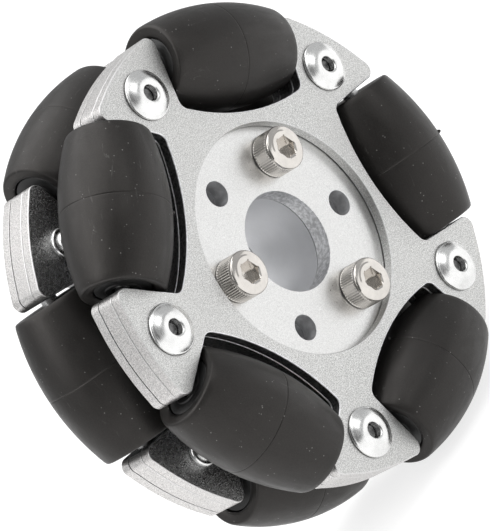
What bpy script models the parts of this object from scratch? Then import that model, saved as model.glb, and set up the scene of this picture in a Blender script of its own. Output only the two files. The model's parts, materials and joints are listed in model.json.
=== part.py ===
"""Double-row omni wheel, 60 mm across and 25 mm wide.

Two five-armed aluminium rows, turned 36 degrees against each other, hold ten free
barrel rollers whose axles run along the rim.  Each row is a sandwich of three star
plates closed by five hollow rivets; three cap screws join the rows through a spacer.

Units are metres.  The origin is the wheel's centre, the wheel spins about Y, the
front row faces -Y and +Z is up.
"""
import math

import bmesh
import bpy
from mathutils import Matrix, Vector

# Wheel layout
WHEEL_RADIUS = 0.0300
ROW_PITCH = 0.01237
ARMS = 5
ARM_STEP = math.radians(72)
FRONT_ARM_START = math.radians(90)
REAR_ARM_START = math.radians(54)

# Star plates
COVER_THICKNESS = 0.00135
CORE_THICKNESS = 0.0024
SEAM = 0.0001
ROW_THICKNESS = 2 * COVER_THICKNESS + CORE_THICKNESS + 2 * SEAM
PLATE_RADIUS = 0.02873
ARM_CORNER_RADIUS = 0.0012
WINDOW_MID_RADIUS = 0.01585
WINDOW_FLOOR_CURVE = 0.0277
WINDOW_CORNER_RADIUS = 0.0012
WINDOW_INNER_HALF = 0.00965
WINDOW_OUTER_HALF = 0.0101
WINDOW_TAPER_FROM = 0.0179
WINDOW_TAPER_TO = 0.0260

# Hub
BORE_RADIUS = 0.0062
COVER_OPENING_RADIUS = 0.0143
BOLT_CIRCLE_RADIUS = 0.0106
BOLT_HOLE_RADIUS = 0.00157
FIRST_SCREW_ANGLE = math.radians(42)
SCREW_STEP = math.radians(120)
SPACER_RADIUS = 0.0139
HUB_SEAT_RADIUS = 0.0142
HUB_SEAT_RISE = 0.0001

# Hollow rivets
RIVET_CIRCLE_RADIUS = 0.0242
RIVET_HEAD_RADIUS = 0.0031
RIVET_HEAD_HEIGHT = 0.00095
RIVET_HEAD_EDGE = 0.00025
RIVET_SHANK_RADIUS = 0.0016
RIVET_HOLE_RADIUS = 0.0017
RIVET_BORE_RADIUS = 0.00095
RIVET_BORE_DEPTH = 0.0022
RIVET_TAIL_RADIUS = 0.00190
RIVET_TAIL_LENGTH = 0.0008
MANDREL_HEAD_RADIUS = 0.00135
MANDREL_HEAD_LENGTH = 0.0007
MANDREL_HEAD_ROUND = 0.0004

# Rollers
AXLE_CIRCLE_RADIUS = 0.0236
AXLE_RADIUS = 0.0010
AXLE_HALF_LENGTH = 0.0130
AXLE_SLOT_HALF = 0.0011
AXLE_SLOT_END = 0.0132
TYRE_HALF_LENGTH = 0.0094
TYRE_BORE_RADIUS = 0.0034
TYRE_EDGE_BEVEL = 0.0003
TYRE_END_RECESS = 0.0006
TYRE_LIP_RADIUS = 0.0042
TYRE_CROWN_STEPS = 6
CORE_RADIUS = 0.0033
CORE_HALF_LENGTH = 0.0093
CORE_BORE_RADIUS = 0.0012

# Fasteners of the hub, M3
SCREW_HEAD_RADIUS = 0.00275
SCREW_HEAD_HEIGHT = 0.0030
SCREW_HEAD_BEVEL = 0.00025
SCREW_SHANK_RADIUS = 0.00148
SCREW_LENGTH = 0.0140
SCREW_POINT = 0.0003
SOCKET_FLATS = 0.0025
SOCKET_DEPTH = 0.0015

# Facets of round pieces
HUB_SIDES = 32
TYRE_SIDES = 20
SCREW_SIDES = 16
SMALL_SIDES = 12
RIVET_HOLE_SIDES = 10

ROW_Y = {"front": -ROW_PITCH / 2, "rear": ROW_PITCH / 2}
ROW_START = {"front": FRONT_ARM_START, "rear": REAR_ARM_START}


def clear_scene():
    for item in list(bpy.data.objects):
        bpy.data.objects.remove(item, do_unlink=True)


def make_material(name, colour, roughness, metallic):
    material = bpy.data.materials.new(name)
    material.use_nodes = True
    shader = material.node_tree.nodes["Principled BSDF"]
    shader.inputs["Base Color"].default_value = (*colour, 1.0)
    shader.inputs["Roughness"].default_value = roughness
    shader.inputs["Metallic"].default_value = metallic
    return material


def make_object(name, mesh, material, parent=None, matrix=None):
    item = bpy.data.objects.new(name, mesh)
    if not mesh.materials:
        mesh.materials.append(material)
    bpy.context.collection.objects.link(item)
    if parent is not None:
        item.parent = parent
    if matrix is not None:
        item.matrix_local = matrix
    return item


def make_empty(name, parent=None, matrix=None):
    item = bpy.data.objects.new(name, None)
    item.empty_display_size = 0.005
    bpy.context.collection.objects.link(item)
    if parent is not None:
        item.parent = parent
    if matrix is not None:
        item.matrix_local = matrix
    return item


def polar(radius, angle):
    return Vector((radius * math.cos(angle), radius * math.sin(angle)))


def circle(radius, sides, centre=Vector((0.0, 0.0)), start=0.0):
    return [centre + polar(radius, start + 2 * math.pi * i / sides) for i in range(sides)]


def fillet(before, corner, after, radius, steps):
    """Points of the arc that rounds a corner between the lines to its two neighbours."""
    back = (before - corner).normalized()
    ahead = (after - corner).normalized()
    half = math.acos(max(-1.0, min(1.0, back.dot(ahead)))) / 2
    centre = corner + (back + ahead).normalized() * (radius / math.sin(half))
    first = corner + back * (radius / math.tan(half)) - centre
    last = corner + ahead * (radius / math.tan(half)) - centre
    sweep = first.angle_signed(last)
    points = []
    for i in range(steps + 1):
        points.append(centre + Matrix.Rotation(-sweep * i / steps, 2) @ first)
    return points


def wall_half_width(radial):
    """Half width of a roller window at a distance from the wheel's axis."""
    share = (radial - WINDOW_TAPER_FROM) / (WINDOW_TAPER_TO - WINDOW_TAPER_FROM)
    return WINDOW_INNER_HALF + share * (WINDOW_OUTER_HALF - WINDOW_INNER_HALF)


def window_floor(offset):
    """Distance from the wheel's axis to the window's curved floor."""
    drop = math.sqrt(WINDOW_FLOOR_CURVE ** 2 - offset ** 2)
    return WINDOW_MID_RADIUS + WINDOW_FLOOR_CURVE - drop


def window_side(slotted):
    """One half of a window's outline as (radial, offset), from the rim to its middle."""
    outer = PLATE_RADIUS
    for _ in range(20):
        outer = math.sqrt(PLATE_RADIUS ** 2 - wall_half_width(outer) ** 2)
    rim = Vector((outer, wall_half_width(outer)))
    inner = WINDOW_TAPER_FROM
    for _ in range(20):
        inner = window_floor(wall_half_width(inner))
    foot = Vector((inner, wall_half_width(inner)))
    along_rim = rim + Vector((-rim.y, rim.x))
    near_foot = foot.y - WINDOW_CORNER_RADIUS
    floor_point = Vector((window_floor(near_foot), near_foot))
    points = fillet(along_rim, rim, foot, ARM_CORNER_RADIUS, 3)
    if slotted:
        for radial in (AXLE_CIRCLE_RADIUS + AXLE_SLOT_HALF, AXLE_CIRCLE_RADIUS - AXLE_SLOT_HALF):
            mouth = Vector((radial, wall_half_width(radial)))
            end = Vector((radial, AXLE_SLOT_END))
            points += [mouth, end] if radial > AXLE_CIRCLE_RADIUS else [end, mouth]
    points += fillet(rim, foot, floor_point, WINDOW_CORNER_RADIUS, 3)
    for share in (2 / 3, 1 / 3):
        points.append(Vector((window_floor(near_foot * share), near_foot * share)))
    return points


def star_outline(start_angle, slotted):
    """Closed outline of a five-armed plate, anticlockwise, with its first arm at start_angle."""
    side = window_side(slotted)
    mirrored = [Vector((point.x, -point.y)) for point in side]
    middle = [Vector((WINDOW_MID_RADIUS, 0.0))]
    window = mirrored + middle + list(reversed(side))
    rim_angle = math.atan2(side[0].y, side[0].x)
    outline = []
    for arm in range(ARMS):
        window_angle = start_angle + ARM_STEP * (arm + 0.5)
        turn = Matrix.Rotation(window_angle, 2)
        outline += [turn @ point for point in window]
        from_angle = window_angle + rim_angle
        to_angle = window_angle + ARM_STEP - rim_angle
        for i in range(1, 4):
            outline.append(polar(PLATE_RADIUS, from_angle + (to_angle - from_angle) * i / 4))
    return outline


def new_ring(shape, loop, height):
    return [shape.verts.new((point.x, point.y, height)) for point in loop]


def fill_between(shape, rings, normal):
    edges = []
    for ring in rings:
        for i, corner in enumerate(ring):
            pair = (corner, ring[(i + 1) % len(ring)])
            edges.append(shape.edges.get(pair) or shape.edges.new(pair))
    bmesh.ops.triangle_fill(shape, edges=edges, use_beauty=True, normal=normal)


def wall_between(shape, low, high):
    for i in range(len(low)):
        j = (i + 1) % len(low)
        shape.faces.new((low[i], low[j], high[j], high[i]))


def plate_mesh(name, outline, holes, thickness, seat=None, seat_holes=(), seat_rise=0.0):
    """Flat plate from z = 0 to z = thickness with holes right through it.

    A seat is a round area of the far side that stands seat_rise higher; seat_holes go through it.
    """
    shape = bmesh.new()
    down, up = (0.0, 0.0, -1.0), (0.0, 0.0, 1.0)
    low = [new_ring(shape, loop, 0.0) for loop in [outline] + holes + list(seat_holes)]
    plain = 1 + len(holes)
    high = [new_ring(shape, loop, thickness) for loop in [outline] + holes]
    fill_between(shape, low, down)
    if seat is not None:
        foot = new_ring(shape, seat, thickness)
        edge = new_ring(shape, seat, thickness + seat_rise)
        tops = [new_ring(shape, loop, thickness + seat_rise) for loop in seat_holes]
        fill_between(shape, high + [foot], up)
        fill_between(shape, [edge] + tops, up)
        wall_between(shape, foot, edge)
        for ring, top in zip(low[plain:], tops):
            wall_between(shape, ring, top)
    else:
        fill_between(shape, high, up)
    for ring, top in zip(low[:plain], high):
        wall_between(shape, ring, top)
    bmesh.ops.recalc_face_normals(shape, faces=shape.faces)
    mesh = bpy.data.meshes.new(name)
    shape.to_mesh(mesh)
    shape.free()
    return mesh


def turned_mesh(name, profile, sides, closed_profile=True):
    """Solid turned about z from (radius, height) points; radius 0 closes on the axis."""
    shape = bmesh.new()
    rings = []
    for radius, height in profile:
        if radius <= 0.0:
            rings.append([shape.verts.new((0.0, 0.0, height))])
            continue
        ring = [polar(radius, 2 * math.pi * i / sides) for i in range(sides)]
        rings.append([shape.verts.new((point.x, point.y, height)) for point in ring])
    pairs = list(zip(rings, rings[1:]))
    if closed_profile:
        pairs.append((rings[-1], rings[0]))
    for low, high in pairs:
        for i in range(sides):
            j = (i + 1) % sides
            corners = [low[i % len(low)], low[j % len(low)], high[j % len(high)], high[i % len(high)]]
            unique = list(dict.fromkeys(corners))
            if len(unique) > 2:
                shape.faces.new(unique)
    bmesh.ops.recalc_face_normals(shape, faces=shape.faces)
    mesh = bpy.data.meshes.new(name)
    shape.to_mesh(mesh)
    shape.free()
    mesh.shade_smooth()
    mesh.set_sharp_from_angle(angle=math.radians(35))
    return mesh


def facing_rear(x, y, z, turn=0.0):
    """Places a piece drawn along +z so that its z runs along the wheel's +Y."""
    stand = Matrix.Rotation(math.radians(-90), 4, "X")
    return Matrix.Translation((x, y, z)) @ stand @ Matrix.Rotation(turn, 4, "Z")


def facing_front(x, y, z):
    """Places a piece drawn along +z so that its z runs along the wheel's -Y."""
    return Matrix.Translation((x, y, z)) @ Matrix.Rotation(math.radians(90), 4, "X")


def on_circle(radius, angle, y, turn=0.0):
    spot = polar(radius, angle)
    return facing_rear(spot.x, y, spot.y, turn)


def build_row_plates(row, material, root):
    """Two cover plates with a round hub opening, and a slotted core plate between them.

    The rear core plate has a slightly raised seat inside the opening, where a motor coupling
    bolts on by the three open holes.
    """
    # The plates are drawn face up and stood along +Y, which flips the sense of their angles.
    start = -ROW_START[row]
    rivet_holes = []
    for arm in range(ARMS):
        centre = polar(RIVET_CIRCLE_RADIUS, start + ARM_STEP * arm)
        rivet_holes.append(circle(RIVET_HOLE_RADIUS, RIVET_HOLE_SIDES, centre))
    bolt_holes = []
    for i in range(6):
        centre = polar(BOLT_CIRCLE_RADIUS, -FIRST_SCREW_ANGLE + SCREW_STEP / 2 * i)
        bolt_holes.append(circle(BOLT_HOLE_RADIUS, SMALL_SIDES, centre))
    opening = circle(COVER_OPENING_RADIUS, HUB_SIDES)
    bore = circle(BORE_RADIUS, HUB_SIDES)
    cover = plate_mesh(row + "_cover", star_outline(start, False), [opening] + rivet_holes,
                       COVER_THICKNESS)
    if row == "front":
        core = plate_mesh("front_core", star_outline(start, True),
                          [bore] + bolt_holes + rivet_holes, CORE_THICKNESS)
    else:
        core = plate_mesh("rear_core", star_outline(start, True), rivet_holes, CORE_THICKNESS,
                          circle(HUB_SEAT_RADIUS, HUB_SIDES), [bore] + bolt_holes, HUB_SEAT_RISE)
    face = ROW_Y[row] - ROW_THICKNESS / 2
    core_face = face + COVER_THICKNESS + SEAM
    back_face = core_face + CORE_THICKNESS + SEAM
    first, last = ("outer", "inner") if row == "front" else ("inner", "outer")
    make_object(f"{row}_row_{first}_plate", cover, material, root, facing_rear(0, face, 0))
    make_object(f"{row}_row_core_plate", core, material, root, facing_rear(0, core_face, 0))
    make_object(f"{row}_row_{last}_plate", cover, material, root, facing_rear(0, back_face, 0))


def build_spacer(material, root):
    """Turned spacer that sits in the hub openings of both rows, with six bolt holes."""
    length = ROW_PITCH - CORE_THICKNESS - 2 * SEAM
    holes = [circle(BORE_RADIUS, HUB_SIDES)]
    for i in range(6):
        centre = polar(BOLT_CIRCLE_RADIUS, -FIRST_SCREW_ANGLE + SCREW_STEP / 2 * i)
        holes.append(circle(BOLT_HOLE_RADIUS, SMALL_SIDES, centre))
    mesh = plate_mesh("hub_spacer", circle(SPACER_RADIUS, HUB_SIDES), holes, length)
    make_object("hub_spacer", mesh, material, root, facing_rear(0, -length / 2, 0))


def rivet_mesh():
    """Hollow rivet drawn along +z: a domed head below z = 0 and a swollen tail behind.

    The round head of its mandrel closes the tail and stands a little out of it.
    """
    seat = -SEAM
    tail_start = ROW_THICKNESS + SEAM
    tail_end = tail_start + RIVET_TAIL_LENGTH
    tip = tail_end + MANDREL_HEAD_LENGTH
    profile = [(0.0, RIVET_BORE_DEPTH), (RIVET_BORE_RADIUS, RIVET_BORE_DEPTH)]
    profile.append((RIVET_BORE_RADIUS, seat - RIVET_HEAD_HEIGHT))
    for share in (0.50, 0.78):
        radius = RIVET_HEAD_RADIUS * share
        height = RIVET_HEAD_EDGE + (RIVET_HEAD_HEIGHT - RIVET_HEAD_EDGE) * (1 - share ** 4)
        profile.append((radius, seat - height))
    profile.append((RIVET_HEAD_RADIUS, seat - RIVET_HEAD_EDGE))
    profile.append((RIVET_HEAD_RADIUS, seat))
    profile.append((RIVET_SHANK_RADIUS, seat))
    profile.append((RIVET_SHANK_RADIUS, tail_start))
    profile.append((RIVET_TAIL_RADIUS, tail_start))
    profile.append((RIVET_TAIL_RADIUS, tail_end))
    profile.append((MANDREL_HEAD_RADIUS, tail_end))
    profile.append((MANDREL_HEAD_RADIUS, tip - MANDREL_HEAD_ROUND))
    profile.append((MANDREL_HEAD_RADIUS - MANDREL_HEAD_ROUND, tip))
    profile.append((0.0, tip))
    return turned_mesh("rivet", profile, SMALL_SIDES, closed_profile=False)


def build_rivets(row, mesh, material, root):
    """Rivet heads are on the wheel's two outer faces and their tails between the rows."""
    for arm in range(ARMS):
        spot = polar(RIVET_CIRCLE_RADIUS, ROW_START[row] - ARM_STEP * arm)
        if row == "front":
            place = facing_rear(spot.x, ROW_Y[row] - ROW_THICKNESS / 2, spot.y)
        else:
            place = facing_front(spot.x, ROW_Y[row] + ROW_THICKNESS / 2, spot.y)
        make_object(f"{row}_rivet_{arm + 1}", mesh, material, root, place)


def tyre_mesh():
    """Barrel tyre along z whose crown follows the wheel's outer circle, with recessed ends."""
    half = TYRE_HALF_LENGTH
    end_radius = math.sqrt(WHEEL_RADIUS ** 2 - half ** 2) - AXLE_CIRCLE_RADIUS
    low_side = [(TYRE_BORE_RADIUS, -half + TYRE_END_RECESS), (TYRE_LIP_RADIUS, -half)]
    low_side.append((end_radius - TYRE_EDGE_BEVEL, -half))
    crown = []
    reach = half - TYRE_EDGE_BEVEL
    for i in range(TYRE_CROWN_STEPS + 1):
        height = reach * (2 * i / TYRE_CROWN_STEPS - 1)
        crown.append((math.sqrt(WHEEL_RADIUS ** 2 - height ** 2) - AXLE_CIRCLE_RADIUS, height))
    high_side = [(radius, -height) for radius, height in reversed(low_side)]
    return turned_mesh("tyre", low_side + crown + high_side, TYRE_SIDES)


def roller_core_mesh():
    half = CORE_HALF_LENGTH
    profile = [(CORE_BORE_RADIUS, -half), (CORE_RADIUS, -half)]
    profile += [(CORE_RADIUS, half), (CORE_BORE_RADIUS, half)]
    return turned_mesh("roller_core", profile, SMALL_SIDES)


def axle_mesh():
    half = AXLE_HALF_LENGTH
    profile = [(0.0, -half), (AXLE_RADIUS, -half), (AXLE_RADIUS, half), (0.0, half)]
    return turned_mesh("axle", profile, SMALL_SIDES, closed_profile=False)


def build_rollers(row, meshes, materials, root):
    """Each roller has an empty on its axle; tyre and core hang from it and the pin stays fixed."""
    for index in range(ARMS):
        angle = ROW_START[row] - ARM_STEP * (index + 0.5)
        spot = polar(AXLE_CIRCLE_RADIUS, angle)
        place = Matrix.Translation((spot.x, ROW_Y[row], spot.y))
        # Local z runs along the rim; the local x axis points away from the wheel's centre.
        along = Vector((-math.sin(angle), 0.0, math.cos(angle)))
        outward = Vector((math.cos(angle), 0.0, math.sin(angle)))
        side = along.cross(outward)
        axes = Matrix((outward, side, along)).transposed().to_4x4()
        number = index + 1
        pivot = make_empty(f"{row}_roller_pivot_{number}", root, place @ axes)
        make_object(f"{row}_roller_tyre_{number}", meshes["tyre"], materials["rubber"], pivot)
        make_object(f"{row}_roller_core_{number}", meshes["core"], materials["nylon"], pivot)
        make_object(f"{row}_axle_pin_{number}", meshes["axle"], materials["axle"], root, place @ axes)


def socket_screw_mesh():
    """Cap screw along +z: the head's underside is at z = 0 and its hex socket opens at the top."""
    socket_radius = SOCKET_FLATS / math.sqrt(3)
    profile = [(SCREW_HEAD_RADIUS - SCREW_HEAD_BEVEL, -SCREW_HEAD_HEIGHT)]
    profile.append((SCREW_HEAD_RADIUS, -SCREW_HEAD_HEIGHT + SCREW_HEAD_BEVEL))
    profile.append((SCREW_HEAD_RADIUS, 0.0))
    profile.append((SCREW_SHANK_RADIUS, 0.0))
    profile.append((SCREW_SHANK_RADIUS, SCREW_LENGTH - SCREW_POINT))
    profile.append((SCREW_SHANK_RADIUS - SCREW_POINT, SCREW_LENGTH))
    profile.append((0.0, SCREW_LENGTH))
    shape = bmesh.new()
    shape.from_mesh(turned_mesh("screw_body", profile, SCREW_SIDES, closed_profile=False))
    # The open rim of the head is bridged to the hexagon, which is then extruded to its floor.
    rim = [edge for edge in shape.edges if edge.is_boundary]
    hexagon = [shape.verts.new((p.x, p.y, -SCREW_HEAD_HEIGHT)) for p in circle(socket_radius, 6)]
    ring = [shape.edges.new((hexagon[i], hexagon[(i + 1) % 6])) for i in range(6)]
    bmesh.ops.triangle_fill(shape, edges=rim + ring, use_beauty=True, normal=(0.0, 0.0, -1.0))
    extruded = bmesh.ops.extrude_edge_only(shape, edges=ring)
    floor = [item for item in extruded["geom"] if isinstance(item, bmesh.types.BMVert)]
    bmesh.ops.translate(shape, verts=floor, vec=(0.0, 0.0, SOCKET_DEPTH))
    floor_edges = [edge for edge in shape.edges if edge.is_boundary]
    bmesh.ops.contextual_create(shape, geom=floor_edges)
    bmesh.ops.recalc_face_normals(shape, faces=shape.faces)
    mesh = bpy.data.meshes.new("cap_screw")
    shape.to_mesh(mesh)
    shape.free()
    mesh.shade_smooth()
    mesh.set_sharp_from_angle(angle=math.radians(35))
    return mesh


def build_hub_fasteners(material, root):
    """Three screws seated on the front core plate, their ends in the rear core plate."""
    screw = socket_screw_mesh()
    seat = ROW_PITCH / 2 + CORE_THICKNESS / 2 + SEAM
    for i in range(3):
        angle = FIRST_SCREW_ANGLE - SCREW_STEP * i
        make_object(f"hub_screw_{i + 1}", screw, material, root,
                    on_circle(BOLT_CIRCLE_RADIUS, angle, -seat, -angle))


def build():
    clear_scene()
    plate_metal = make_material("blasted_aluminium", (0.78, 0.78, 0.77), 0.48, 1.0)
    spacer_metal = make_material("turned_aluminium", (0.62, 0.63, 0.65), 0.35, 1.0)
    rivet_metal = make_material("bright_aluminium", (0.86, 0.86, 0.85), 0.22, 1.0)
    screw_metal = make_material("nickel_steel", (0.74, 0.70, 0.66), 0.24, 1.0)
    rollers = {"rubber": make_material("black_rubber", (0.035, 0.034, 0.034), 0.62, 0.0),
               "nylon": make_material("black_nylon", (0.02, 0.02, 0.02), 0.45, 0.0),
               "axle": make_material("axle_steel", (0.55, 0.55, 0.56), 0.3, 1.0)}
    meshes = {"tyre": tyre_mesh(), "core": roller_core_mesh(), "axle": axle_mesh()}
    rivet = rivet_mesh()
    root = make_empty("wheel")
    build_spacer(spacer_metal, root)
    for row in ("front", "rear"):
        build_row_plates(row, plate_metal, root)
        build_rivets(row, rivet, rivet_metal, root)
        build_rollers(row, meshes, rollers, root)
    build_hub_fasteners(screw_metal, root)


build()
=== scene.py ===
"""Looks of a double-row omni wheel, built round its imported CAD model.

Metres, as in the CAD: origin at the wheel's centre, spin axis Y, front row facing -Y, +Z up.
"""

import math

import bmesh
import bpy
from mathutils import Matrix, Quaternion, Vector
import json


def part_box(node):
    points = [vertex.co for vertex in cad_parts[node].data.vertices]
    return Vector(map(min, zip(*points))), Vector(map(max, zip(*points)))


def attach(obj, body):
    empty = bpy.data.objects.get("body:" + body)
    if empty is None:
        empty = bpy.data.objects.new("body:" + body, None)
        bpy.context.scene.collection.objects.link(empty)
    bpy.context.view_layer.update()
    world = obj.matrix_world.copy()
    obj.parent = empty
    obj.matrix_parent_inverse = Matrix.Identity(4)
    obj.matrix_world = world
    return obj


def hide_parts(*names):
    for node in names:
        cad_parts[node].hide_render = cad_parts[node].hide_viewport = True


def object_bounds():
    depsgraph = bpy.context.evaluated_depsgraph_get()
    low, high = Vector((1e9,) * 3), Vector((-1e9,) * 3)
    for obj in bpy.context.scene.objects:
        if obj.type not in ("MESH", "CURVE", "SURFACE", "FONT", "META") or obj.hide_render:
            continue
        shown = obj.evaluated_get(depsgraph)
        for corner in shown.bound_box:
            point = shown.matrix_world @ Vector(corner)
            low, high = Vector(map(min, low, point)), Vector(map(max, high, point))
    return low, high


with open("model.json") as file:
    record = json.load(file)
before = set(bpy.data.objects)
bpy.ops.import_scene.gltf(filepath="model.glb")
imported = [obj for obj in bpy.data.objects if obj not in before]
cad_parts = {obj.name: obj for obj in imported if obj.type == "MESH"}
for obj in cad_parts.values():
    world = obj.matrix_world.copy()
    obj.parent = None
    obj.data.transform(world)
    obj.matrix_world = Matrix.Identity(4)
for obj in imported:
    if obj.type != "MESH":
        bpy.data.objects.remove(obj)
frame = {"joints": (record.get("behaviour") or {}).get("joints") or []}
cad_low, cad_high = [list(corner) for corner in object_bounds()]

MM = 0.001
AREA_WEIGHT = 80

# Camera, about the wheel's centre
CAMERA_AZIMUTH = -41.72
CAMERA_ELEVATION = 15.48
CAMERA_ROLL = -46.90
CAMERA_DISTANCE = 0.41752
CAMERA_AIM = (-0.36 * MM, 0.40 * MM, 0.21 * MM)
CAMERA_LENS = 242.0
SENSOR = 36.0
CLIP_START = 0.01
CLIP_END = 20.0

# Wheel layout
WHEEL_RADIUS = 30.0 * MM
ARMS = 5
ARM_STEP = math.radians(72)
ARM_START = {"front": math.radians(90), "rear": math.radians(54)}
ROWS = ("front", "rear")

# Star plates
PLATE_RADIUS = 28.73 * MM
ARM_CORNER_RADIUS = 1.2 * MM
WINDOW_MID_RADIUS = 15.85 * MM
WINDOW_FLOOR_CURVE = 27.7 * MM
WINDOW_CORNER_RADIUS = 1.2 * MM
WINDOW_INNER_HALF = 9.65 * MM
WINDOW_OUTER_HALF = 10.1 * MM
WINDOW_TAPER_FROM = 17.9 * MM
WINDOW_TAPER_TO = 26.0 * MM
SLOT_HALF = 1.1 * MM
SLOT_END = 13.2 * MM
OUTER_EDGE = 0.14 * MM
SEAM_EDGE = 0.05 * MM
CORE_EDGE = 0.13 * MM
OPENING_EDGE = 0.12 * MM
EDGE_STEPS = 4
CORNER_STEPS = 9
RIM_STEPS = 16
TIGHTEST_MITER = 0.4
SMOOTH_TURN = 0.8

# Material slots of a star plate
FACE, WALL, WINDOW, DRILLED, RIM, HIGHLIGHT_EDGE = range(6)

# Hub
BORE_RADIUS = 6.2 * MM
OPENING_RADIUS = 14.3 * MM
BOLT_CIRCLE = 10.6 * MM
BOLT_HOLE_RADIUS = 1.57 * MM
SCREWS = 3
FIRST_SCREW_ANGLE = math.radians(42)
SCREW_STEP = math.radians(120)
SPACER_RADIUS = 13.9 * MM
SEAT_RADIUS = 14.2 * MM
SEAT_RISE = 0.1 * MM
BORE_LOW_EDGE = 0.04 * MM
BORE_HIGH_EDGE = 0.06 * MM
BOLT_HOLE_EDGE = 0.04 * MM
SEAT_EDGE = 0.04 * MM
SPACER_EDGE = 0.15 * MM
SPACER_BORE_EDGE = 0.03 * MM

# Sides of the circles in the plates and the spacer
OPENING_SIDES = 192
BORE_SIDES = 128
BOLT_HOLE_SIDES = 48
RIVET_HOLE_SIDES = 32

# Rivets; the head's profile is in mm, (radius, height above the plate)
RIVET_HEAD = ((0.96, 0.75), (0.99, 0.83), (1.05, 0.89), (1.13, 0.925), (1.24, 0.945),
              (1.40, 0.95), (1.56, 0.945), (1.74, 0.925), (1.96, 0.86),
              (2.20, 0.75), (2.45, 0.61), (2.66, 0.475), (2.80, 0.375),
              (2.88, 0.32), (2.96, 0.29), (3.03, 0.25), (3.08, 0.18), (3.10, 0.09))
RIVET_SEAT_GAP = 0.1 * MM
RIVET_SIDES = 72
RIVET_TURN = 0.9
RIVET_HOLE_EDGE = 0.03 * MM
RIVET_CIRCLE = 24.2 * MM
RIVET_HOLE_RADIUS = 1.7 * MM
RIVET_SHANK_RADIUS = 1.6 * MM
RIVET_BORE_RADIUS = 0.95 * MM
RIVET_BORE_DEPTH = 2.2 * MM
RIVET_TAIL_RADIUS = 1.9 * MM
RIVET_TAIL_LENGTH = 0.8 * MM
MANDREL_RADIUS = 1.35 * MM
MANDREL_LENGTH = 0.7 * MM
STUB_RADIUS = 0.93 * MM
STUB_TOP = -0.10 * MM
STUB_SIDES = 40

# Rollers; the lip's profile is in mm, (radius, depth below the tyre's end)
TYRE_LIP = ((4.50, 0.01), (4.20, 0.03), (3.90, 0.07), (3.70, 0.12), (3.56, 0.18), (3.46, 0.24))
TYRE_SIDES = 96
TYRE_STEPS = 20
TYRE_CORNER_STEPS = 6
TYRE_CORNER_DROP = 0.05 * MM
GROOVE_DEPTH = 0.045 * MM
GROOVE_WIDTH = 0.055 * MM
GROOVE_REACH = 0.3 * MM
GROOVE_HEIGHTS = (-0.22 * MM, -0.12 * MM, -0.07 * MM, -0.03 * MM)
NUB_SIDES = 14
NUB_OFF_GROOVE = 0.16 * MM
CORE_SIDES = 64
AXLE_SIDES = 40
AXLE_EDGE = 0.18 * MM
AXLE_CIRCLE = 23.6 * MM
AXLE_RADIUS = 1.0 * MM
AXLE_HALF = 13.0 * MM
TYRE_HALF = 9.5 * MM
TYRE_BORE_RADIUS = 3.4 * MM
TYRE_EDGE = 0.38 * MM
CORE_RADIUS = 3.3 * MM
CORE_HALF = 9.3 * MM
CORE_BORE_RADIUS = 1.2 * MM
FIRST_NUB_DEGREES = 150
NUB_STEP_DEGREES = 12

# How the photo shows one roller: where its nub points, how far it sits along its pin
NUB_TURN = {"front_roller_2": math.radians(-47)}
END_PLAY = {"front_roller_2": -0.14 * MM}

# Screws, M3
HEAD_RADIUS = 2.72 * MM
HEAD_HEIGHT = 2.95 * MM
THREAD_RADIUS = 1.48 * MM
THREAD_DEPTH = 0.28 * MM
THREAD_PITCH = 0.5 * MM
SCREW_LENGTH = 14.0 * MM
SCREW_SEAT_GAP = 0.1 * MM
SOCKET_FLATS = 2.5 * MM
SOCKET_DEPTH = 1.2 * MM
HEAD_SIDES = 324
KNURL_TEETH = 54
KNURL_DEPTH = 0.045 * MM
KNURL_START = 0.75 * MM
KNURL_END = -0.22 * MM
NECK_DEPTH = 0.07 * MM
THREAD_LENGTH = 4.0 * MM
THREAD_TO_TIP = 4.3 * MM
THREAD_RUN_IN = 0.4 * MM
STEPS_PER_TURN = 8
SHANK_SIDES = 48
HEIGHT_SLACK = 1e-7

# Stage
WORLD_DARK_TURN = -6
WORLD_DARK_ELEVATION = 8
WORLD_BRIGHT = (0.54, 0.545, 0.55, 1.0)
WORLD_DARK = (0.12, 0.12, 0.12, 1.0)
WORLD_BRIGHT_TO = 0.55
WORLD_DARK_FROM = 0.93
FLOOR_SIZE = 3.0
FLOOR_CELLS = 12
FLOOR_GLOW = 0.78


# ---------------------------------------------------------------- outlines

def polar(radius, angle):
    return Vector((radius * math.cos(angle), radius * math.sin(angle)))


def circle(radius, sides, centre=Vector((0.0, 0.0))):
    return [centre + polar(radius, 2 * math.pi * i / sides) for i in range(sides)]


def fillet(before, corner, after, radius, steps):
    back = (before - corner).normalized()
    ahead = (after - corner).normalized()
    half = math.acos(max(-1.0, min(1.0, back.dot(ahead)))) / 2
    centre = corner + (back + ahead).normalized() * (radius / math.sin(half))
    first = corner + back * (radius / math.tan(half)) - centre
    last = corner + ahead * (radius / math.tan(half)) - centre
    sweep = first.angle_signed(last)
    return [centre + Matrix.Rotation(-sweep * i / steps, 2) @ first for i in range(steps + 1)]


def wall_half_width(radial):
    share = (radial - WINDOW_TAPER_FROM) / (WINDOW_TAPER_TO - WINDOW_TAPER_FROM)
    return WINDOW_INNER_HALF + share * (WINDOW_OUTER_HALF - WINDOW_INNER_HALF)


def window_floor(offset):
    drop = math.sqrt(WINDOW_FLOOR_CURVE ** 2 - offset ** 2)
    return WINDOW_MID_RADIUS + WINDOW_FLOOR_CURVE - drop


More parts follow.
